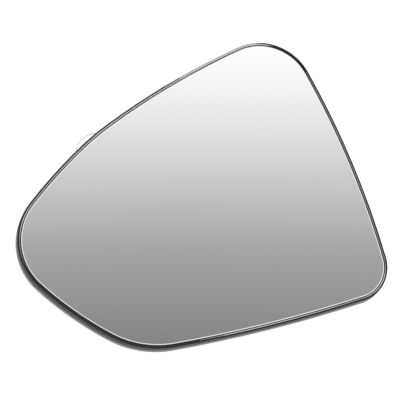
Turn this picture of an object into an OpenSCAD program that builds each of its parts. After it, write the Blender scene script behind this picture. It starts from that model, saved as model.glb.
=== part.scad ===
// Door mirror glass on its clip-on carrier, lying with the mirror face up (+Z).
// The origin is on the axis of the rear collar, in the plane of the collar's mouth.
// +X runs outboard along the lower edge, +Y points to the upper edge in use.
// Every layer is concentric with the convex front of the glass.

/* [Glass outline] */
// Width of the glass
glass_width = 181; // [172:1:190]
// Height of the glass
glass_height = 146; // [138:1:154]
// Lower outer corner: place along the width, from the collar axis
outer_corner_u = 0.348; // [0.33:0.002:0.37]
// Lower outer corner: place along the height, from the collar axis
outer_corner_v = -0.322; // [-0.35:0.002:-0.3]
// Lower outer corner: radius
outer_corner_r = 17.5; // [13:0.5:22]
// Top corner: place along the width
top_corner_u = 0.246; // [0.22:0.002:0.27]
// Top corner: place along the height
top_corner_v = 0.37; // [0.34:0.002:0.4]
// Top corner: radius
top_corner_r = 26; // [20:0.5:32]
// Inner corner: place along the width
inner_corner_u = -0.384; // [-0.41:0.002:-0.36]
// Inner corner: place along the height
inner_corner_v = -0.007; // [-0.03:0.001:0.02]
// Inner corner: radius
inner_corner_r = 31; // [26:0.5:35]
// Lower inner corner: place along the width
lower_corner_u = -0.193; // [-0.22:0.001:-0.17]
// Lower inner corner: place along the height
lower_corner_v = -0.106; // [-0.13:0.001:-0.09]
// Lower inner corner: radius
lower_corner_r = 48.5; // [44:0.5:52]
// Shoulder of the upper side: distance along it from the inner corner
shoulder_along = 48; // [42:0.5:58]
// Shoulder of the upper side: how far it stands out from the straight line
shoulder_rise = 7.5; // [6.5:0.1:9]
// Shoulder of the upper side: radius
shoulder_r = 140; // [110:1:170]
// Radius of the outer side
outer_side_r = 505; // [420:5:700]
// Radius of the upper side between the top corner and the shoulder
upper_side_r = 450; // [380:5:600]
// Radius of the upper side between the shoulder and the inner corner
shoulder_side_r = 280; // [240:5:340]
// Radius of the inner side
inner_side_r = 175; // [145:5:230]
// Radius of the lower side
lower_side_r = 730; // [600:5:1000]

/* [Glass and layers] */
// Radius of curvature of the convex front of the glass
glass_r = 1260; // [1000:20:1800]
// Thickness of the glass
glass_t = 2; // [1.6:0.1:2.4]
// Width of the ground arris along both edges of the glass
arris = 0.45; // [0.3:0.05:0.6]
// Thickness of the heating film
film_t = 0.3; // [0.2:0.05:0.5]
// Height of the printed heating track on the film
track_t = 0.1; // [0.05:0.05:0.2]
// Width of the printed heating track
track_w = 2.2; // [1.4:0.1:3]
// Pitch of the runs of the heating track
track_pitch = 9; // [8:0.5:12]
// Thickness of the foam adhesive sheet
pad_t = 0.8; // [0.6:0.1:1.2]
// Bond line between neighbouring layers
bond = 0.05; // [0.03:0.01:0.08]
// Margin between the edge of the glass and the edge of the film
film_margin = 3; // [2:0.5:5]
// Margin between the edge of the glass and the edge of the adhesive sheet
pad_margin = 2; // [1.5:0.5:4]

/* [Carrier rim] */
// Thickness of the domed skin of the carrier
skin_t = 2; // [1.6:0.1:2.6]
// Gap between the edge of the glass and the lip
glass_gap = 0.3; // [0.2:0.05:0.5]
// Height of the lip's crest above the face of the glass
lip_rise = 0.3; // [0.1:0.05:0.5]
// Width of the lip
lip_w = 1.35; // [1.2:0.05:1.8]
// Radius across the lip's crest
lip_crest_r = 1; // [0.95:0.05:1.6]
// Radius of the lip's two upper edges
lip_round = 0.2; // [0.1:0.05:0.25]
// Bevel of the lip's lower edge
lip_bevel = 0.1; // [0.05:0.05:0.2]
// Depth of the shadow groove below the lip, measured from the face of the glass
groove_top = 1.5; // [1.2:0.1:2]
// Height of the shadow groove
groove_h = 0.7; // [0.5:0.1:1]
// How far the shadow groove is set in
groove_in = 0.45; // [0.3:0.05:0.5]
// How far the skirt stands out past the lip
skirt_out = 0.2; // [0.1:0.05:0.4]
// Flare of the skirt towards its back edge
skirt_flare = 0.2; // [0:0.05:0.5]
// Depth of the skirt's back edge below the face of the glass
skirt_depth = 7.4; // [6.8:0.1:9]
// Thickness of the skirt's back edge
skirt_t = 1.5; // [1.3:0.1:1.8]

/* [Collar and claws] */
// Bore radius of the collar
collar_r = 25; // [23:0.5:27]
// Wall of the collar
collar_wall = 2.2; // [1.8:0.1:2.6]
// Depth of the collar's bore on its axis
collar_depth = 9; // [8:0.5:11]
// Width of the key slot in the collar
key_w = 6; // [4:0.5:8]
// Depth of the key slot in the collar
key_depth = 3.5; // [2:0.5:4]
// Number of claws, and of ribs between them
claws = 8; // [6:1:8]
// Angle that one claw spans
claw_span = 22; // [16:1:26]
// Gap between the collar and the claws
claw_gap = 0.9; // [0.6:0.1:1.2]
// Thickness of a claw
claw_t = 1.5; // [1.2:0.1:2]
// Thickness of the mating flange that the claws hold on the collar's mouth
flange_t = 2.8; // [2:0.1:3.5]
// Running gap between that flange and the hooks
flange_gap = 0.2; // [0.1:0.05:0.4]
// How far a hook reaches inwards
hook_reach = 1.6; // [1.2:0.1:1.8]
// Height of a hook
hook_h = 2.8; // [2.4:0.1:3.6]
// Height of the upright land at the nose of a hook
hook_land = 0.7; // [0.5:0.1:1]
// Bevel on the outer edge of a claw's tip, and flat left beside it
claw_bevel = 0.3; // [0.2:0.05:0.4]

/* [Ribs] */
// Thickness of the ribs
rib_t = 1.3; // [1:0.1:1.8]
// Height of the ribs beside the claws
rib_h_in = 5; // [3.5:0.5:6]
// Height of the ribs at the skirt
rib_h_out = 1.6; // [1.2:0.1:1.8]
// Radius of the innermost round rib
ring_rib_r = 44; // [42:0.5:46]
// Number of round ribs
ring_ribs = 4; // [1:1:4]
// Distance between the round ribs
ring_rib_pitch = 14; // [12:0.5:16]

/* [Terminals] */
// Distance of the terminal window from the collar axis
window_x = 36.5; // [36:0.1:37.5]
// Length of the window along the edge
window_l = 21; // [20:0.5:24]
// Width of the window
window_w = 8.4; // [8:0.1:9]
// Height of the window's surround
window_wall_h = 3; // [2:0.5:4]
// Wall of the window's surround
window_wall_t = 1.2; // [1:0.1:1.5]
// Distance between the two blades
blade_pitch = 10; // [9:0.5:11]
// Width of a blade
blade_w = 6.3; // [6:0.1:6.6]
// Thickness of a blade
blade_t = 0.8; // [0.7:0.05:0.9]
// Length of a blade from its foot
blade_l = 12; // [10:0.5:14]
// Width of the lead-in at a blade's tip
blade_lead_w = 0.8; // [0.5:0.1:1.2]
// Height of the lead-in at a blade's tip
blade_lead_h = 1.5; // [1:0.1:2]
// Radius of the detent hole in a blade
detent_r = 0.8; // [0.6:0.05:1]
// Place of the detent hole, as a share of the blade's length
detent_at = 0.62; // [0.55:0.01:0.7]
// Length of a blade's foot
foot_l = 6.4; // [6:0.1:7]
// Radius of the rivet's shank
rivet_r = 1.1; // [0.9:0.05:1.3]
// Radius of the rivet's head
rivet_head_r = 1.9; // [1.6:0.1:2.1]
// Height of the rivet's head
rivet_head_h = 0.5; // [0.3:0.05:0.7]
// Clearance between a rivet and its holes
rivet_gap = 0.05; // [0.03:0.01:0.1]

/* [Film tab] */
// Width of the film tab that stands out behind the upper side
tab_w = 20; // [16:0.5:21.5]
// How far the tab stands out past the highest point of the shoulder
tab_out = 2.7; // [1.5:0.1:4]
// Length of the tab's stuck part, inside the skirt
tab_in = 9; // [6:0.5:12]
// Thickness of the tab
tab_t = 0.3; // [0.2:0.05:0.4]
// Radius of the tab's round end
tab_round = 11.6; // [11:0.1:14]
// Place of the tab along the upper side, from the inner corner
tab_along = 36.7; // [30:0.1:44]

/* [Hidden] */
$fn = 96;
// Facets of the large spheres
dome_fn = 360;
// Largest gap between a curve of the outline and its chords
chord_error = 0.03;

// Radii of the concentric layers, front to back
glass_back_r = glass_r - glass_t;
film_front_r = glass_back_r - bond;
film_back_r = film_front_r - film_t;
track_back_r = film_back_r - track_t;
pad_front_r = track_back_r - bond;
pad_back_r = pad_front_r - pad_t;
skin_front_r = pad_back_r - bond;
skin_back_r = skin_front_r - skin_t;
// Height of the layers' common centre, which puts the skin's back at the bottom of the bore
dome_z = collar_depth - skin_back_r;
// Depths of the skin's two faces below the face of the glass
skin_top_h = skin_front_r - glass_r;
skin_bottom_h = skin_back_r - glass_r;

// Height of a concentric sphere of radius r at distance d from the axis
function dome(r, d) = dome_z + sqrt(r * r - d * d);
// Unit vector that points at an angle
function dir(a) = [cos(a), sin(a)];
function angle_of(v) = atan2(v[1], v[0]);
// Angle b, brought to the first turn past a
function past(a, b) = b < a ? past(a, b + 360) : b >= a + 360 ? past(a, b - 360) : b;

// Centre of the arc of radius r that runs round circle 1 and then circle 2 and touches both
function bridge(c1, r1, c2, r2, r) =
    let (gap = c2 - c1, l = norm(gap), a = r - r1, b = r - r2, t = (a * a - b * b + l * l) / (2 * l))
    c1 + t * gap / l + sqrt(a * a - t * t) * [-gap[1], gap[0]] / l;
// Direction in which the straight line that touches two circles faces outwards
function tangent_dir(c1, r1, c2, r2) =
    let (gap = c2 - c1, l = norm(gap), s = (r1 - r2) / l)
    s * gap / l + sqrt(1 - s * s) * [gap[1], -gap[0]] / l;

// Point at these shares of the glass's width and height from the collar axis
function place(u, v) = [u * glass_width, v * glass_height];

// The upper side's straight line, from the inner corner to the top corner, carries the shoulder
top_c = place(top_corner_u, top_corner_v);
inner_c = place(inner_corner_u, inner_corner_v);
upper_out = tangent_dir(top_c, top_corner_r, inner_c, inner_corner_r);
upper_along = [upper_out[1], -upper_out[0]];
upper_foot = inner_c + inner_corner_r * upper_out;
shoulder_c = upper_foot + shoulder_along * upper_along + (shoulder_rise - shoulder_r) * upper_out;

// Corner circles in turn, and the side that follows each: [centre, radius, radius of that side]
corners = [
    [place(outer_corner_u, outer_corner_v), outer_corner_r, outer_side_r],
    [top_c, top_corner_r, upper_side_r],
    [shoulder_c, shoulder_r, shoulder_side_r],
    [inner_c, inner_corner_r, inner_side_r],
    [place(lower_corner_u, lower_corner_v), lower_corner_r, lower_side_r]];
n_corners = len(corners);
side_c = [for (k = [0 : n_corners - 1])
    let (a = corners[k], b = corners[(k + 1) % n_corners]) bridge(a[0], a[1], b[0], b[1], a[2])];

// Stations along an arc, without its last end: [centre, radius, angle]
function arc_stations(c, r, from, to) =
    let (n = max(2, ceil((to - from) * PI / 180 * r / sqrt(8 * r * chord_error))))
    [for (i = [0 : n - 1]) [c, r, from + (to - from) * i / n]];
// All stations, counter-clockwise: each corner, then the side that follows it
stations = [for (k = [0 : n_corners - 1])
    let (c = corners[k][0], before = side_c[(k + n_corners - 1) % n_corners], after = side_c[k],
        next = corners[(k + 1) % n_corners][0],
        from = angle_of(c - before), to = past(from, angle_of(c - after)))
    each concat(arc_stations(c, corners[k][1], from, to),
        arc_stations(after, corners[k][2], to, past(to, angle_of(next - after))))];
n_stations = len(stations);

// Point of the outline at a station, moved outwards by e
function edge_point(s, e) = s[0] + (s[1] + e) * dir(s[2]);
// Outline of the glass, moved outwards by e
function outline(e) = [for (s = stations) edge_point(s, e)];
// The same point at height h over the face of the glass
function rim_point(s, e, h) = let (p = edge_point(s, e)) [p[0], p[1], dome(glass_r + h, norm(p))];

// Points of a small rounding in a section, from angle a to angle b
function rounding(c, r, a, b, n = 3) = [for (i = [0 : n]) c + r * dir(a + (b - a) * i / n)];

// Section of lip, shadow groove and skirt: [distance outside the glass, height over its face]
lip_in = glass_gap;
lip_out = lip_in + lip_w;
skirt_top_out = lip_out + skirt_out;
skirt_back_out = skirt_top_out + skirt_flare;
skirt_back_in = skirt_back_out - skirt_t;
groove_bottom = groove_top + groove_h;
skirt_round = 0.3;
back_round = 0.45;
// Drop of the bevel between the lip's inner wall and the skirt's inner wall
inner_bevel = 0.4;
// The skin ends in the middle of the lip's wall, and that wall starts in the middle of the skin
skin_edge = (lip_in + lip_out - groove_in) / 2;
skin_mid_h = (skin_top_h + skin_bottom_h) / 2;
// The crest and the upper edges touch at this angle either side of upright
lip_mid = (lip_in + lip_out) / 2;
crest_a = asin((lip_w / 2 - lip_round) / (lip_crest_r - lip_round));
edge_a = (90 - crest_a) / 2;
edge_h = lip_rise - lip_crest_r + (lip_crest_r - lip_round) * cos(crest_a);
rim_section = concat(
    [[lip_in, skin_mid_h]],
    [[skirt_back_in, skin_mid_h - inner_bevel]],
    rounding([skirt_back_in + back_round, back_round - skirt_depth], back_round, 180, 270),
    rounding([skirt_back_out - back_round, back_round - skirt_depth], back_round, 270, 360),
    rounding([skirt_top_out - skirt_round, -groove_bottom - skirt_round], skirt_round, 0, 90),
    [[lip_out - groove_in, -groove_bottom], [lip_out - groove_in, -groove_top]],
    [[lip_out - lip_bevel, -groove_top], [lip_out, lip_bevel - groove_top]],
    rounding([lip_out - lip_round, edge_h], lip_round, 0, edge_a, 1),
    rounding([lip_mid, lip_rise - lip_crest_r], lip_crest_r, 90 - crest_a, 90 + crest_a, 6),
    rounding([lip_in + lip_round, edge_h], lip_round, 180 - edge_a, 180, 1));

// Closed ring: a section carried round the outline, bent to the dome
module ring(section) {
    n = len(section);
    points = [for (s = stations, p = section) rim_point(s, p[0], p[1])];
    faces = [for (i = [0 : n_stations - 1], j = [0 : n - 1])
        let (i2 = (i + 1) % n_stations, j2 = (j + 1) % n,
            a = i * n + j, b = i2 * n + j, c = i2 * n + j2, d = i * n + j2)
        each [[a, c, b], [a, d, c]]];
    polyhedron(points, faces);
}

// Concentric shell between two radii, its poles laid sideways, far from the part
module shell(front_r, back_r) {
    translate([0, 0, dome_z])
        rotate([0, 90, 0]) difference() {
            sphere(r = front_r, $fn = dome_fn);
            sphere(r = back_r, $fn = dome_fn);
        }
}

// Upright prism over the outline moved outwards by e, tall enough for every layer
prism_low = -4;
prism_high = dome(glass_r, 0) + glass_t;
module prism(e) {
    translate([0, 0, prism_low])
        linear_extrude(prism_high - prism_low) polygon(outline(e));
}

// Block whose edges carry the arris of the glass, front and back
module ground_block() {
    rings = [[-3 * arris, 2 * arris, glass_r], [0, -arris, glass_r],
        [0, arris, glass_back_r], [-3 * arris, -2 * arris, glass_back_r]];
    points = concat(
        [for (g = rings, s = stations)
            let (p = edge_point(s, g[0])) [p[0], p[1], dome(g[2] + g[1], norm(p))]],
        [[0, 0, dome(glass_r, 0) + 2 * arris], [0, 0, dome(glass_back_r, 0) - 2 * arris]]);
    n = n_stations;
    top = len(rings) * n;
    faces = [for (i = [0 : n - 1]) let (i2 = (i + 1) % n)
        each concat([[top, i2, i], [top + 1, 3 * n + i, 3 * n + i2]],
            [for (g = [0 : len(rings) - 2]) each [
                [g * n + i, g * n + i2, (g + 1) * n + i2],
                [g * n + i, (g + 1) * n + i2, (g + 1) * n + i]]])];
    polyhedron(points, faces);
}

module mirror_glass() {
    color([0.72, 0.75, 0.77])
        intersection() {
            shell(glass_r, glass_back_r);
            ground_block();
        }
}

// Lays its children flat on the concentric sphere of radius r, over the point p
module on_dome(p, r) {
    translate([0, 0, dome_z])
        rotate([-asin(p[1] / r), asin(p[0] / r), 0])
            translate([0, 0, r]) children();
}

// The two terminals stand side by side in the window: -1 for the lower one, 1 for the upper one
module at_film(side, r) {
    on_dome([window_x, side * blade_pitch / 2], r) children();
}

// Plan of the printed track: parallel runs joined at alternate ends
track_x = 60;
track_span = 44;
module track_plan() {
    runs = floor(2 * track_span / track_pitch);
    first = -track_pitch * (runs - 1) / 2;
    for (k = [0 : runs - 1])
        translate([-track_x, first + k * track_pitch - track_w / 2])
            square([2 * track_x, track_w]);
    for (k = [0 : runs - 2])
        translate([k % 2 == 0 ? track_x - track_w : -track_x, first + k * track_pitch - track_w / 2])
            square([track_w, track_pitch + track_w]);
}

module heater_film() {
    color([0.62, 0.45, 0.2])
        difference() {
            union() {
                intersection() {
                    shell(film_front_r, film_back_r);
                    prism(-film_margin);
                }
                intersection() {
                    shell(film_back_r + film_t / 2, track_back_r);
                    prism(-film_margin - track_w);
                    difference() {
                        translate([0, 0, prism_low])
                            linear_extrude(prism_high - prism_low) track_plan();
                        window_block(0);
                    }
                }
            }
            for (side = [-1, 1])
                at_film(side, film_back_r) rivet_hole();
        }
}

module adhesive_pad() {
    color([0.2, 0.2, 0.22])
        difference() {
            intersection() {
                shell(pad_front_r, pad_back_r);
                prism(-pad_margin);
            }
            window_block(0);
        }
}

// Upright block over the terminal window, widened by e
module window_block(e) {
    translate([window_x - window_w / 2 - e, -window_l / 2 - e, prism_low])
        cube([window_w + 2 * e, window_l + 2 * e, prism_high - prism_low]);
}

// Claw ring sizes
claw_in_r = collar_r + collar_wall + claw_gap;
claw_out_r = claw_in_r + claw_t;
hook_in_r = claw_in_r - hook_reach;
hook_top_z = -flange_t - flange_gap;
claw_tip_z = hook_top_z - hook_h;
// Depth at which walls are rooted, in the middle of the skin
root_z = collar_depth + skin_t / 2 - claw_out_r * claw_out_r / (2 * glass_r);

module collar() {
    difference() {
        cylinder(r = collar_r + collar_wall, h = root_z);
        translate([0, 0, -1]) cylinder(r = collar_r, h = root_z + 2);
        translate([-key_w / 2, -collar_r - collar_wall - 1, -1])
            cube([key_w, collar_wall + 3, key_depth + 1]);
    }
}

// One claw: an upright leaf with a hook that faces the axis
module claw() {
    tip_in_r = claw_in_r + claw_bevel;
    rotate(-claw_span / 2)
        rotate_extrude(angle = claw_span)
            polygon([[claw_in_r, root_z], [claw_in_r, hook_top_z], [hook_in_r, hook_top_z],
                [hook_in_r, hook_top_z - hook_land], [tip_in_r, claw_tip_z],
                [claw_out_r - claw_bevel, claw_tip_z],
                [claw_out_r, claw_tip_z + claw_bevel], [claw_out_r, root_z]]);
}

// Cross-section of the ribs, swept round the axis: rooted in the skin, lower towards the skirt
rib_from_r = collar_r + collar_wall / 2;
rib_to_r = 125;
rib_steps = 5;
function rib_r(i) = rib_from_r + (rib_to_r - rib_from_r) * i / rib_steps;
function rib_h(r) =
    rib_h_in + (rib_h_out - rib_h_in) * min(1, (r - rib_from_r) / (outline_reach - rib_from_r));
// Distance from the axis at which the ribs have come down to their least height
outline_reach = min([for (s = stations) norm(edge_point(s, 0))]);
module rib_envelope() {
    rotate_extrude()
        polygon(concat(
            [for (i = [0 : rib_steps]) [rib_r(i), dome(skin_back_r + skin_t / 2, rib_r(i))]],
            [for (i = [rib_steps : -1 : 0]) [rib_r(i), dome(skin_back_r, rib_r(i)) - rib_h(rib_r(i))]]));
}

// Upright tube whose wall of thickness t is centred on radius r
module tube(r, t, h) {
    difference() {
        cylinder(r = r + t / 2, h = h);
        translate([0, 0, -1]) cylinder(r = r - t / 2, h = h + 2);
    }
}

// Tall walls that the envelope cuts to ribs: one between each two claws, one more in each outer
// bay, and round ones about the axis
module rib_walls() {
    pitch = 360 / claws;
    tall = prism_high - prism_low;
    for (k = [0 : claws - 1]) {
        rotate((k + 0.5) * pitch)
            translate([rib_from_r, -rib_t / 2, prism_low]) cube([rib_to_r, rib_t, tall]);
        rotate(k * pitch)
            translate([ring_rib_r, -rib_t / 2, prism_low]) cube([rib_to_r, rib_t, tall]);
    }
    for (k = [0 : ring_ribs - 1])
        translate([0, 0, prism_low]) tube(ring_rib_r + k * ring_rib_pitch, rib_t, tall);
}

// Upright wall round the window, on the back of the skin
module window_surround() {
    wall_low = dome(skin_back_r, window_x) - window_wall_h;
    intersection() {
        window_block(window_wall_t);
        translate([0, 0, wall_low])
            cylinder(r = ring_rib_r * 2,
                h = dome(skin_back_r, window_x + window_w) + skin_t / 2 - wall_low);
    }
}

// Skin, ribs, collar, claws and window, without the rim
module carrier_back() {
    difference() {
        union() {
            intersection() {
                shell(skin_front_r, skin_back_r);
                prism(skin_edge);
            }
            intersection() {
                rib_envelope();
                rib_walls();
                prism(skin_edge);
            }
            collar();
            for (k = [0 : claws - 1])
                rotate(k * 360 / claws) claw();
            window_surround();
        }
        window_block(0);
    }
}

module backing_plate() {
    color([0.07, 0.07, 0.075]) {
        carrier_back();
        ring(rim_section);
    }
}

// Local frame of a terminal: z = 0 on the back of the film, +Z into the glass
module rivet_hole() {
    hole_h = 4 * (film_t + blade_t);
    translate([0, 0, -hole_h / 2])
        cylinder(r = rivet_r + rivet_gap, h = hole_h, $fn = 32);
}

module heater_terminal(side) {
    foot_top = -bond;
    half = blade_w / 2;
    root = blade_l - blade_t / 2;
    color([0.8, 0.72, 0.45])
        at_film(side, film_back_r)
            difference() {
                union() {
                    translate([-foot_l / 2, -blade_w / 2, foot_top - blade_t])
                        cube([foot_l, blade_w, blade_t]);
                    translate([foot_l / 2 - blade_t, 0, foot_top - blade_l])
                        rotate([90, 0, 90])
                            linear_extrude(blade_t)
                                polygon([[-half, root], [-half, blade_lead_h],
                                    [-half + blade_lead_w, 0], [half - blade_lead_w, 0],
                                    [half, blade_lead_h], [half, root]]);
                }
                rivet_hole();
                translate([0, 0, foot_top - blade_l * detent_at])
                    rotate([0, 90, 0]) cylinder(r = detent_r, h = foot_l, $fn = 24);
            }
}

module terminal_rivet(side) {
    head_top = -bond - blade_t - rivet_gap;
    color([0.75, 0.75, 0.76])
        at_film(side, film_back_r) {
            translate([0, 0, head_top - rivet_head_h])
                cylinder(r = rivet_head_r, h = rivet_head_h, $fn = 32);
            translate([0, 0, head_top - rivet_head_h / 2])
                cylinder(r = rivet_r, h = film_t - head_top + rivet_head_h / 2 - bond, $fn = 32);
        }
}

module heater_terminal_left() {
    heater_terminal(1);
}

module heater_terminal_right() {
    heater_terminal(-1);
}

module terminal_rivet_left() {
    terminal_rivet(1);
}

module terminal_rivet_right() {
    terminal_rivet(-1);
}

// Flat tongue of film stuck behind the skirt, laid along the dome, with its round end outwards
tab_seat = upper_foot + tab_along * upper_along + (skirt_back_out + shoulder_rise) * upper_out;
// Drop of the dome over half the tab's width, which keeps the flat tab's ends off the skirt
tab_drop = tab_w * tab_w / (8 * glass_r);
module film_tab() {
    color([0.93, 0.94, 0.95])
        on_dome(tab_seat, glass_r - skirt_depth - tab_drop - bond - tab_t)
            rotate(angle_of(upper_out) - 90)
                linear_extrude(tab_t)
                    intersection() {
                        translate([0, tab_out - tab_round]) circle(r = tab_round);
                        translate([-tab_w / 2, -tab_in]) square([tab_w, tab_in + tab_out]);
                    }
}

mirror_glass();
heater_film();
adhesive_pad();
backing_plate();
heater_terminal_left();
heater_terminal_right();
terminal_rivet_left();
terminal_rivet_right();
film_tab();
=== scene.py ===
"""A car door mirror glass: a convex coated glass in the thin black rim of a clip-on carrier.

Everything keeps the part's own frame: the mouth of the rear collar at the origin, +Z out of the
mirror face, +X outboard. The glass is built here as a fine grid on its sphere, so that nothing in
its reflection has facets. The other pieces are the part's own shapes with their surfaces on.
Lengths are in mm and angles in degrees, except where a comment says otherwise.
"""

import math

import bmesh
import bpy
import numpy as np
from mathutils import Matrix, Vector

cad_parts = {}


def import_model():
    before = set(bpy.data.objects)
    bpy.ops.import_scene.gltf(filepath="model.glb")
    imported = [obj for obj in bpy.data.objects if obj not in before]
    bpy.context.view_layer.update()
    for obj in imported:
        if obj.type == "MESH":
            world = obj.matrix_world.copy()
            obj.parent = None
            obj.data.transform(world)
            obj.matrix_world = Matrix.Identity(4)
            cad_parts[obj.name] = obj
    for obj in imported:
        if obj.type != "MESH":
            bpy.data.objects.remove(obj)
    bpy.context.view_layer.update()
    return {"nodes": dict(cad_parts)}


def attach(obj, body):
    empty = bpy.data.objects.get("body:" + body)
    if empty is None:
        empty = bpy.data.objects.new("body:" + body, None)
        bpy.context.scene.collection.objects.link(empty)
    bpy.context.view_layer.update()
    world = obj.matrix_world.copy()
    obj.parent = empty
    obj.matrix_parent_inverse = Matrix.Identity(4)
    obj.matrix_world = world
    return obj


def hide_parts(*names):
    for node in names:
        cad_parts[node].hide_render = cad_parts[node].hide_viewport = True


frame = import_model()

MM = 0.001

GLASS_WIDTH = 181
GLASS_HEIGHT = 146


def corner(u, v, radius, side):
    """A corner at these shares of the width and height: its radius, and that of the next side."""
    return (u * GLASS_WIDTH, v * GLASS_HEIGHT, radius, side)


OUTER_CORNER = corner(0.348, -0.322, 17.5, 505)
TOP_CORNER = corner(0.246, 0.37, 26, 450)
INNER_CORNER = corner(-0.384, -0.007, 31, 175)
LOWER_CORNER = corner(-0.193, -0.106, 48.5, 730)
# The shoulder of the upper side: distance along it, rise over the straight line, radius, next side
SHOULDER = (48, 7.5, 140, 280)
# Distance between the points that the outline is drawn with
OUTLINE_STEP = 1.4

# The sphere of the glass face: its radius, and the height of its centre, on the collar's axis
GLASS_R = 1260
DOME_Z = -1245.65
GLASS_T = 2
# The fine grid of the face ends this far out from the outline; its rings, as shares of the way
GRID_END = -0.85
GLASS_RINGS = np.linspace(0, 1, 27)[1:] ** 0.85
# The edge of the glass in section, as steps out from the outline and up from the face: the pale
# ground arris, then the sealed edge with the arris at its back. The seal's black is a real seal and
# also painted shade of the gap between the glass and the lip
BACK_ARRIS = 0.45
GROUND_ARRIS = [(-0.75, 0), (-0.5, -0.03), (-0.3, -0.12)]
SEALED_AND_SHADED_EDGE = [(-0.06, -0.38), (0, -0.5), (0, BACK_ARRIS - GLASS_T), (-BACK_ARRIS, -GLASS_T)]

# The lip gets a pale painted highlight where it stands higher than this over the sphere of the
# glass face
HIGHLIGHT_HEIGHT = -0.05
# How far a face of the lip leans in towards the glass, from no painted highlight to the full
# painted highlight
HIGHLIGHT_LEAN = (0.14, 0.44)
# How far that lean is along y, from least to most painted highlight, and the least
HIGHLIGHT_ACROSS, HIGHLIGHT_LEAST = (0.25, 0.55), 0.4
# Towards the lower inner corner, which lies this way, the painted highlight fades out between these
# marks
LOWER_INNER, HIGHLIGHT_END = (-0.6, -0.8), (58, 68)
# The outer half of the top corner gets no painted highlight: the bearing of its middle about that
# corner's centre, and how far to each side of it the painted highlight begins again and is back in
# full
NO_HIGHLIGHT, NO_HIGHLIGHT_SPREAD = 36, (26, 34)
# Along its inner half the whole crest gets the painted highlight: the bearing of that middle, and
# how far to each side it still has it in full and no longer at all
CROWN, CROWN_SPREAD = 119, (35, 45)
# How strong the crest's painted highlight is there, and the least lean and the least upward face of
# a crest
CROWN_HIGHLIGHT, CROWN_LEAN, CROWN_UP = 0.6, -0.6, 0.5

# The film tab's round end, and how far in from it a grey line of painted shade is faint and is full
TAB_CENTRE, TAB_ROUND = (-48.5, 42.65, 4.9), 11.6
TAB_SHADE_LINE = (0.4, 0.15)

# Share of the light that comes back from the coated face of the glass
MIRROR_RETURN = 0.945
# The ceiling in the mirror: the direction along which it darkens, the reach along it of the first
# and the last ray that it darkens over, and its greys between them as they show in the glass
CEILING_AIM = (-0.24075, -0.96834, 0.06603)
CEILING_SPAN = (-0.405, -0.0045)
CEILING_GREYS = [(0, 0.99), (0.11, 0.91), (0.22, 0.8), (0.35, 0.67), (0.51, 0.515)]
CEILING_GREYS += [(0.68, 0.37), (0.88, 0.28), (1, 0.23)]
# Up to this share of the way overhead, the ceiling turns into white walls
WALL_TOP = 0.62
WHITE = (1, 1, 1)
# Brightness of the surroundings, to which the lamps add up to 1
WORLD_LEVEL = 0.8
LAMP_DISTANCE = 1200

# Half the floor's side, and the light on it that only the camera and only the mirror see
FLOOR_HALF, FLOOR_SEEN, FLOOR_MIRRORED = 3000, 0.62, 0.55
CLAW_TIP_Z = -5.8

# Corners of the part's loose triangles that are closer than this are one
MERGE_GAP = 0.001


class Wire:
    """A number or colour on its way through a material. Sums on it add Math nodes."""

    def __init__(self, graph, socket):
        self.graph, self.socket = graph, socket

    def __add__(self, other):
        return self.graph.math("ADD", self, other)

    def __radd__(self, other):
        return self.graph.math("ADD", other, self)

    def __sub__(self, other):
        return self.graph.math("SUBTRACT", self, other)

    def __rsub__(self, other):
        return self.graph.math("SUBTRACT", other, self)

    def __mul__(self, other):
        return self.graph.math("MULTIPLY", self, other)

    def __rmul__(self, other):
        return self.graph.math("MULTIPLY", other, self)

    def __abs__(self):
        return self.graph.math("ABSOLUTE", self)

    def step(self, low, high):
        """0 up to low, 1 from high on, and even in between."""
        slope = 1 / (high - low)
        return self.graph.math("MULTIPLY_ADD", self, slope, -low * slope, clamp=True)


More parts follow.
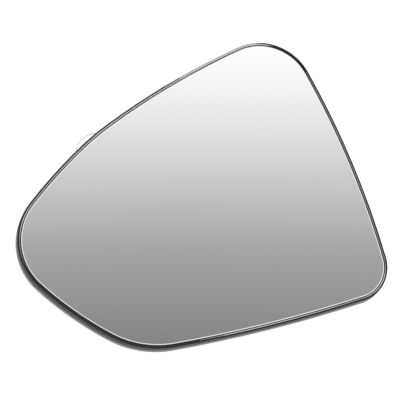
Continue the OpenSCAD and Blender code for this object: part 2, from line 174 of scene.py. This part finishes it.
class Graph:
    """The node tree of one material, or of the world."""

    def __init__(self, owner):
        owner.use_nodes = True
        self.tree = owner.node_tree
        self.tree.nodes.clear()

    def feed(self, slot, value):
        """Gives an input a wire, a colour without its alpha, or any other plain value."""
        if isinstance(value, Wire):
            self.tree.links.new(value.socket, slot)
        else:
            slot.default_value = (*value, 1) if slot.type == "RGBA" else value

    def node(self, kind, settings=None, output=0, **slots):
        """A node of this kind with its settings, then its inputs. An input goes by its name, with
        _ for a space, or by i and its number."""
        node = self.tree.nodes.new(kind)
        for name, value in (settings or {}).items():
            if name == "stops":
                fill_ramp(node.color_ramp, value)
            else:
                setattr(node, name, value)
        for name, value in slots.items():
            numbered = name[0] == "i" and name[1:].isdigit()
            self.feed(node.inputs[int(name[1:]) if numbered else name.replace("_", " ")], value)
        return Wire(self, node.outputs[output]) if node.outputs else None

    def math(self, operation, *values, clamp=False):
        slots = {f"i{number}": value for number, value in enumerate(values)}
        return self.node("ShaderNodeMath", {"operation": operation, "use_clamp": clamp}, **slots)

    def larger(self, a, b):
        return self.math("MAXIMUM", a, b)

    def place(self, stretch=(1, 1, 1)):
        """The object's own coordinates, in metres, stretched along each axis."""
        at = self.node("ShaderNodeTexCoord", output="Object")
        return self.node("ShaderNodeMapping", Vector=at, Scale=stretch)

    def noise(self, scale, detail=3, roughness=0.5, at=None):
        return self.node(
            "ShaderNodeTexNoise",
            Vector=at or self.place(),
            Scale=scale,
            Detail=detail,
            Roughness=roughness,
        )

    def cells(self, scale):
        return self.node("ShaderNodeTexVoronoi", Vector=self.place(), Scale=scale)

    def mix(self, share, a, b):
        """Colour a where share is 0, colour b where it is 1."""
        return self.node("ShaderNodeMix", {"data_type": "RGBA"}, output=2, i0=share, i6=a, i7=b)

    def bump(self, height, distance, strength):
        """Fine relief, its distance in metres."""
        return self.node("ShaderNodeBump", Height=height, Distance=distance, Strength=strength)

    def attribute(self, name):
        """A number stored on the faces under this name."""
        return self.node("ShaderNodeAttribute", {"attribute_name": name}, output="Fac")

    def vector_math(self, operation, a, b):
        """One number from two vectors."""
        settings = {"operation": operation}
        return self.node("ShaderNodeVectorMath", settings, output="Value", i0=a, i1=b)

    def upward(self, vector):
        """The z part of a vector."""
        return self.node("ShaderNodeSeparateXYZ", output="Z", Vector=vector)

    def ray(self, kind):
        """1 for rays of this kind, 0 for others."""
        return self.node("ShaderNodeLightPath", output=f"Is {kind} Ray")

    def mirrored(self):
        """1 for rays that come by way of metal, plastic or glass."""
        return self.larger(self.ray("Glossy"), self.ray("Transmission"))

    def surface(self, **slots):
        """The one physically based surface of a material, wired to its output."""
        self.end(self.node("ShaderNodeBsdfPrincipled", **slots))

    def end(self, shader, kind="ShaderNodeOutputMaterial"):
        self.node(kind, Surface=shader)


def fill_ramp(ramp, stops):
    """Sets a ramp's stops, each a place and a colour. It has one at each end from the start."""
    for place, _ in stops[1:-1]:
        ramp.elements.new(place)
    for element, (place, colour) in zip(ramp.elements, stops):
        element.position, element.color = place, (*colour, 1)


def material(name):
    """An empty material and its graph."""
    made = bpy.data.materials.new(name)
    return made, Graph(made)


def mirror_material():
    """The glass: a coated face with faint wipe marks, the pale ground arris, the sealed outside of
    the edge, whose black is a seal and also painted shade of the gap to the lip, and grey
    protective paint behind."""
    made, g = material("mirror glass")
    coated, ground, sealed = (g.attribute(name) for name in ("coated", "ground", "sealed"))
    wipes = g.noise(9, 4, at=g.place((1, 3.5, 1)))
    haze = g.noise(34, 5, 0.6)
    grit = g.noise(2600, 2)
    face = g.mix(wipes * 0.6 + haze * 0.4, (0.935, 0.937, 0.937), (0.96, 0.962, 0.962))
    frost = g.mix(grit, (0.8, 0.82, 0.81), (0.96, 0.97, 0.965))
    # Black seal on the outside of the edge, which is also painted shade of the gap between glass
    # and lip
    seal_and_shade = g.mix(grit, (0.03, 0.031, 0.031), (0.06, 0.062, 0.062))
    paint = g.mix(haze, (0.2, 0.2, 0.19), (0.27, 0.26, 0.25))
    polish = 0.01 + haze.step(0.42, 0.75) * 0.014 + wipes * 0.006
    g.surface(
        Base_Color=g.mix(coated, g.mix(ground, g.mix(sealed, paint, seal_and_shade), frost), face),
        Metallic=coated,
        Roughness=polish * coated + (1 - coated) * (0.5 + 0.2 * grit),
        Normal=g.bump(grit * (1 - coated), 0.00003, 0.8),
    )
    return made


def carrier_material():
    """Black moulded plastic: satin with a fine grain, with a pale painted highlight along the lip's
    inner bend.
    """
    made, g = material("black moulding")
    rubbed = g.attribute("rubbed")
    grain = g.cells(2900)
    flow = g.noise(55, 4, 0.55, at=g.place((1, 1, 3)))
    fine_mottle = g.noise(420, 3, 0.6)
    black = g.mix(flow * 0.6 + fine_mottle * 0.4, (0.012, 0.012, 0.0123), (0.024, 0.024, 0.0245))
    # Painted highlight: this pale colour on the marked faces stands in for a lamp's highlight on
    # the glossy lip
    painted_highlight_colour = g.mix(fine_mottle, (0.66, 0.66, 0.65), (0.88, 0.88, 0.87))
    g.surface(
        Base_Color=g.mix(rubbed, black, painted_highlight_colour),
        Roughness=0.2 + 0.1 * flow + 0.08 * fine_mottle,
        Specular_IOR_Level=0.35,
        Normal=g.bump(grain * 0.6 + fine_mottle * 0.4, 0.000035, 0.6),
    )
    return made


def film_material():
    """Amber heating film, streaked and finely specked."""
    made, g = material("heating film")
    streaks = g.noise(160, 3, at=g.place((1, 6, 1)))
    specks = g.noise(1500, 2)
    g.surface(
        Base_Color=g.mix(streaks * 0.7 + specks * 0.3, (0.5, 0.33, 0.12), (0.7, 0.5, 0.24)),
        Roughness=0.32 + 0.16 * streaks,
        Normal=g.bump(specks, 0.00001, 0.5),
    )
    return made


def foam_material():
    """Dark adhesive foam with open cells."""
    made, g = material("adhesive foam")
    cells = g.cells(1800)
    patches = g.noise(120, 3)
    g.surface(
        Base_Color=g.mix(patches * 0.5 + cells * 0.5, (0.09, 0.09, 0.1), (0.17, 0.17, 0.18)),
        Roughness=0.82 + 0.14 * patches,
        Normal=g.bump(cells, 0.0001, 0.9),
    )
    return made


def metal_material(name, dark, light, brushed, roughness):
    """Plain sheet metal with fine rolling lines, stretched as brushed says, and soft tarnish."""
    made, g = material(name)
    lines = g.noise(900, 3, at=g.place(brushed))
    tarnish = g.noise(260, 4, 0.6)
    g.surface(
        Base_Color=g.mix(tarnish * 0.7 + lines * 0.3, dark, light),
        Metallic=1.0,
        Roughness=roughness + 0.14 * lines + 0.1 * tarnish,
        Normal=g.bump(lines, 0.000012, 0.6),
    )
    return made


def tab_material():
    """Clear release film with faint creases. Its cut edge, and the line beside it round the tab's
    end, are painted grey as painted shade of the film's edge: the line is where the distance from
    the round end's centre nears its radius."""
    made, g = material("clear film")
    creases = g.noise(90, 2, at=g.place((1, 2, 1)))
    mist = g.noise(400, 2)
    facing = g.upward(g.node("ShaderNodeTexCoord", output="Normal"))
    broad = abs(facing).step(0.5, 0.9)
    # Painted shade: a grey line just inside the round end, and the grey cut edge, stand in for the
    # film's shaded edge
    reach = g.vector_math("DISTANCE", g.place(), [c * MM for c in TAB_CENTRE])
    line = reach.step(*((TAB_ROUND - inset) * MM for inset in TAB_SHADE_LINE))
    edge = g.larger(line, 1 - broad)
    clear = g.mix(creases * 0.6 + mist * 0.4, (0.86, 0.87, 0.88), (0.96, 0.965, 0.97))
    g.surface(
        Base_Color=g.mix(edge, clear, (0.3, 0.31, 0.325)),
        Alpha=g.larger(edge * 0.75, 0.1 + 0.08 * mist),
        Roughness=0.34 + 0.14 * mist,
        Normal=g.bump(creases, 0.00002, 0.4),
    )
    return made


def turned(v):
    """The flat vector v, a quarter turn to the left."""
    return np.array([-v[1], v[0]])


def shoulder_circle():
    """The shoulder as a corner of its own. Its centre is found from the foot of the straight line
    that touches the inner and the top corner: along it, then in from its rise by its radius."""
    top, inner = np.array(TOP_CORNER[:2]), np.array(INNER_CORNER[:2])
    gap = inner - top
    along = gap / np.hypot(*gap)
    lean = (TOP_CORNER[2] - INNER_CORNER[2]) / np.hypot(*gap)
    out = lean * along - math.sqrt(1 - lean * lean) * turned(along)
    foot = inner + INNER_CORNER[2] * out
    distance, rise, radius, side = SHOULDER
    centre = foot - distance * turned(out) + (rise - radius) * out
    return (*centre, radius, side)


def side_centre(here, there):
    """Centre of the side arc from one corner to the next: left of the way between them, where
    circles about both corners' centres, of side less corner radius, meet."""
    gap = np.subtract(there[:2], here[:2])
    length = np.hypot(*gap)
    a, b = here[3] - here[2], here[3] - there[2]
    along = (a * a - b * b + length * length) / (2 * length)
    return here[:2] + (along * gap + math.sqrt(a * a - along * along) * turned(gap)) / length


def outline_arcs():
    """Corner and side arcs of the glass, counter-clockwise: centre, radius, and the angles, in
    radians, at which the arc starts and ends."""
    corners = [OUTER_CORNER, TOP_CORNER, shoulder_circle(), INNER_CORNER, LOWER_CORNER]
    following = corners[1:] + corners[:1]
    sides = [side_centre(here, there) for here, there in zip(corners, following)]
    arcs = []
    for k, (here, there) in enumerate(zip(corners, following)):
        marks = [here[:2] - sides[k - 1], here[:2] - sides[k], there[:2] - sides[k]]
        angles = np.unwrap([math.atan2(v[1], v[0]) for v in marks])
        arcs.append((here[:2], here[2], angles[0], angles[1]))
        arcs.append((sides[k], here[3], angles[1], angles[2]))
    return arcs


def outline():
    """Rows of points round the outline, a step apart: the centre and radius of a point's arc, then
    its direction from there as a cosine and a sine. The angles along an arc are even."""
    rows = []
    for centre, radius, low, high in outline_arcs():
        count = max(4, round((high - low) * radius / OUTLINE_STEP))
        angle = np.linspace(low, high, count, endpoint=False)
        arc = np.tile([*centre, radius], (count, 1))
        rows.append(np.column_stack([arc, np.cos(angle), np.sin(angle)]))
    return np.concatenate(rows)


def beside(edge, e):
    """The outline moved outwards by e: a point is its arc's centre plus radius and e that way."""
    return edge[:, :2] + (edge[:, 2:3] + e) * edge[:, 3:]


def on_sphere(flat, height):
    """Flat points lifted to the sphere of the glass face, raised by height: z is the centre's z
    plus the root of the squared radius less the squared distance from the axis."""
    z = DOME_Z + np.sqrt((GLASS_R + height) ** 2 - (flat**2).sum(-1))
    return np.column_stack([flat, z])


def band(count, size):
    """Quads between count successive closed rings of size points each, one row of faces after the
    other. The faces look up where the rings run counter-clockwise and outwards."""
    j = np.arange(size)
    k = (j + 1) % size
    return [
        face
        for first in range(0, (count - 1) * size, size)
        for face in np.stack([first + j, first + size + j, first + size + k, first + k], 1).tolist()
    ]


def fan(ring, middle, size, upwards):
    """Triangles between a ring of points, given by its first, and their middle point."""
    j = np.arange(size)
    k = (j + 1) % size
    ends = (j, k) if upwards else (k, j)
    return np.stack([np.full(size, middle), ring + ends[0], ring + ends[1]], 1).tolist()


def mark(mesh, name, share):
    """Stores a number from 0 to 1 on each face."""
    attribute = mesh.attributes.new(name, "FLOAT", "FACE")
    attribute.data.foreach_set("value", share.astype(np.float32))


def mirror_glass(edge):
    """The glass: its coated face as rings, each a smaller share of the outline, then the section of
    its edge carried round, and its back as coarser rings, all lifted to their spheres. The rows of
    faces are marked by what they are."""
    size = len(edge)
    border = beside(edge, GRID_END)
    points = [on_sphere(border * share, 0) for share in GLASS_RINGS]
    points += [on_sphere(beside(edge, e), height) for e, height in GROUND_ARRIS + SEALED_AND_SHADED_EDGE]
    points += [on_sphere(border * share, -GLASS_T) for share in GLASS_RINGS[-2::-2]]
    middle = len(points) * size
    faces = fan(0, middle, size, upwards=True)
    faces += band(len(points), size)
    faces += fan(middle - size, middle + 1, size, upwards=False)
    points += [on_sphere(np.zeros((1, 2)), height) for height in (0, -GLASS_T)]
    mesh = bpy.data.meshes.new("mirror glass")
    mesh.from_pydata((np.concatenate(points) * MM).tolist(), [], faces)
    row = np.arange(len(faces)) // size - len(GLASS_RINGS) - 1
    seal_and_shade_row = len(GROUND_ARRIS) - 1
    back_row = seal_and_shade_row + len(SEALED_AND_SHADED_EDGE)
    mark(mesh, "coated", row < 0)
    mark(mesh, "ground", (row >= 0) & (row < seal_and_shade_row))
    mark(mesh, "sealed", (row >= seal_and_shade_row) & (row < back_row))
    return finished(mesh, "mirror", sharp_degrees=20)


def in_scene(name, data):
    """An object of this mesh, lamp or lens, put into the scene."""
    made = bpy.data.objects.new(name, data)
    bpy.context.scene.collection.objects.link(made)
    return made


def finished(mesh, name, sharp_degrees):
    """An object of this mesh, smooth except across edges sharper than this."""
    mesh.shade_smooth()
    mesh.set_sharp_from_angle(angle=math.radians(sharp_degrees))
    return in_scene(name, mesh)


def smooth_copy(node, name):
    """The part's own shape of a node, its loose triangles merged and its flowing faces smooth."""
    mesh = frame["nodes"][node].data.copy()
    mesh.attributes.remove(mesh.attributes["custom_normal"])
    bm = bmesh.new()
    bm.from_mesh(mesh)
    bmesh.ops.remove_doubles(bm, verts=bm.verts, dist=MERGE_GAP * MM)
    bm.to_mesh(mesh)
    bm.free()
    return finished(mesh, name, sharp_degrees=32)


def rise(value, low, high):
    """0 up to low, 1 from high on, and even in between."""
    return np.clip((value - low) / (high - low), 0, 1)


def mark_painted_highlight(mesh):
    """Marks a pale painted highlight on the lip's inner bend, most where the bend runs along x, and
    not round the lower inner corner nor the outer half of the top corner. Over the inner half of
    the top corner the whole crest gets the painted highlight. A face's height is its distance from
    the sphere's centre less the sphere's radius; it leans in where its normal runs against its own
    direction from the axis; its bearing is taken about the top corner's centre. A face that lies
    flat leans nowhere, which the small least length keeps from a division by zero."""
    count = len(mesh.polygons)
    centre, normal = np.empty(3 * count), np.empty(3 * count)
    mesh.polygons.foreach_get("center", centre)
    mesh.polygons.foreach_get("normal", normal)
    x, y, z = (centre / MM).reshape(-1, 3).T
    normal_x, normal_y, normal_z = normal.reshape(-1, 3).T
    height = np.sqrt(x**2 + y**2 + (z - DOME_Z) ** 2) - GLASS_R
    lean = -(x * normal_x + y * normal_y) / np.hypot(x, y)
    across = np.abs(normal_y) / np.maximum(np.hypot(normal_x, normal_y), 0.001)
    bearing = np.degrees(np.arctan2(y - TOP_CORNER[1], x - TOP_CORNER[0]))
    lower_inner = x * LOWER_INNER[0] + y * LOWER_INNER[1]

    # Painted highlight: the pale colour goes on the faces that lean in and run along x, and on the
    # crest
    bend_highlight = rise(lean, *HIGHLIGHT_LEAN) * (HIGHLIGHT_LEAST + (1 - HIGHLIGHT_LEAST) * rise(across, *HIGHLIGHT_ACROSS))
    bend_highlight *= 1 - rise(lower_inner, *HIGHLIGHT_END)
    bend_highlight *= rise(np.abs(bearing - NO_HIGHLIGHT), *NO_HIGHLIGHT_SPREAD)
    crown_highlight = CROWN_HIGHLIGHT * (1 - rise(np.abs(bearing - CROWN), *CROWN_SPREAD))
    crown_highlight *= (lean > CROWN_LEAN) & (normal_z > CROWN_UP)
    mark(mesh, "rubbed", (height > HIGHLIGHT_HEIGHT) * np.maximum(bend_highlight, crown_highlight))


def dressed(piece, surface):
    """Puts a surface on a piece and hangs it on the part."""
    piece.data.materials.clear()
    piece.data.materials.append(surface)
    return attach(piece, "root")


mirror = dressed(mirror_glass(outline()), mirror_material())
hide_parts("mirror_glass")
carrier = dressed(smooth_copy("backing_plate", "carrier"), carrier_material())
# Marks where the pale painted highlight goes on the lip
mark_painted_highlight(carrier.data)
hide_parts("backing_plate")

brass = metal_material("tinned brass", (0.6, 0.55, 0.4), (0.83, 0.8, 0.68), (1, 1, 0.1), 0.26)
steel = metal_material("rivet steel", (0.5, 0.5, 0.51), (0.74, 0.74, 0.75), (1, 0.2, 1), 0.3)
for node, surface in {
    "heater_film": film_material(),
    "adhesive_pad": foam_material(),
    "heater_terminal_left": brass,
    "heater_terminal_right": brass,
    "terminal_rivet_left": steel,
    "terminal_rivet_right": steel,
    "film_tab": tab_material(),
}.items():
    shown = frame["nodes"][node].data.materials
    shown.clear()
    shown.append(surface)


def floor():
    """A pale plain floor at the tips of the claws. The camera, metal, plastic and glass see it
    lifted to white, with the soft shadow left on it, and from below it isn't there."""
    half, z = FLOOR_HALF * MM, CLAW_TIP_Z * MM
    mesh = bpy.data.meshes.new("floor")
    corners = [(-half, -half, z), (half, -half, z), (half, half, z), (-half, half, z)]
    mesh.from_pydata(corners, [], [(0, 1, 2, 3)])
    made = in_scene("floor", mesh)
    surface, g = material("pale floor")
    paper = g.node("ShaderNodeBsdfDiffuse", Color=(0.86, 0.86, 0.86))
    glow = g.ray("Camera") * FLOOR_SEEN + g.mirrored() * FLOOR_MIRRORED
    lift = g.node("ShaderNodeEmission", Color=WHITE, Strength=glow)
    lit = g.node("ShaderNodeAddShader", i0=paper, i1=lift)
    below = g.node("ShaderNodeNewGeometry", output="Backfacing")
    g.end(g.node("ShaderNodeMixShader", i0=below, i1=lit, i2=g.node("ShaderNodeBsdfTransparent")))
    mesh.materials.append(surface)


def world():
    """Even white light. What the mirror shows is a studio ceiling that fades from white to grey
    along one direction, and pale walls that brighten down to the horizon."""
    made = bpy.data.worlds.new("studio")
    bpy.context.scene.world = made
    g = Graph(made)
    towards = g.node("ShaderNodeTexCoord", output="Generated")
    along = g.vector_math("DOT_PRODUCT", towards, CEILING_AIM)
    stops = [(place, (grey / MIRROR_RETURN,) * 3) for place, grey in CEILING_GREYS]
    ceiling = g.node("ShaderNodeValToRGB", {"stops": stops}, Fac=along.step(*CEILING_SPAN))
    walls = g.upward(towards).step(WALL_TOP, 0)
    plain = g.mix(g.ray("Camera"), (WORLD_LEVEL,) * 3, WHITE)
    seen = g.mix(g.mirrored(), plain, g.mix(walls, ceiling, WHITE))
    g.end(g.node("ShaderNodeBackground", Color=seen), "ShaderNodeOutputWorld")


def lamp(name, azimuth, elevation, width, height, radiance):
    """A soft lamp panel that faces the part and doesn't show in the mirror. Its width and height
    are in metres, and its power is its radiance times its area times pi."""
    light = bpy.data.lights.new(name, "AREA")
    light.shape, light.size, light.size_y = "RECTANGLE", width, height
    light.energy = radiance * width * height * math.pi
    a, e = math.radians(azimuth), math.radians(elevation)
    away = Vector((math.cos(a) * math.cos(e), math.sin(a) * math.cos(e), math.sin(e)))
    made = in_scene(name, light)
    turn = away.to_track_quat("Z", "Y").to_matrix().to_4x4()
    made.matrix_world = Matrix.Translation(away * LAMP_DISTANCE * MM) @ turn
    made.visible_camera = False
    made.visible_glossy = False


def camera():
    """The photo's view, from 0.9 m away and 18.6 degrees off the glass's axis. Its place is in
    metres. It looks against its third direction, which is square to right and up."""
    lens = bpy.data.cameras.new("camera")
    lens.sensor_width, lens.lens = 36, 158.2
    lens.shift_x, lens.shift_y = -0.0327, 0.0144
    lens.clip_start, lens.clip_end = 0.01, 50
    place = Vector((-0.21898, -0.18481, 0.86752))
    right, up = Vector((0.94326, -0.27779, 0.18193)), Vector((0.22598, 0.93844, 0.26128))
    turn = Matrix((right, up, right.cross(up))).transposed().to_4x4()
    made = in_scene("camera", lens)
    made.matrix_world = Matrix.Translation(place) @ turn
    bpy.context.scene.camera = made


floor()
world()
lamp("panel at the upper side", azimuth=68, elevation=27, width=1.5, height=0.9, radiance=1.0)
lamp("panel at the lower side", azimuth=-60, elevation=30, width=1.3, height=0.6, radiance=1.3)
camera()
bpy.context.scene.view_settings.view_transform = "Standard"
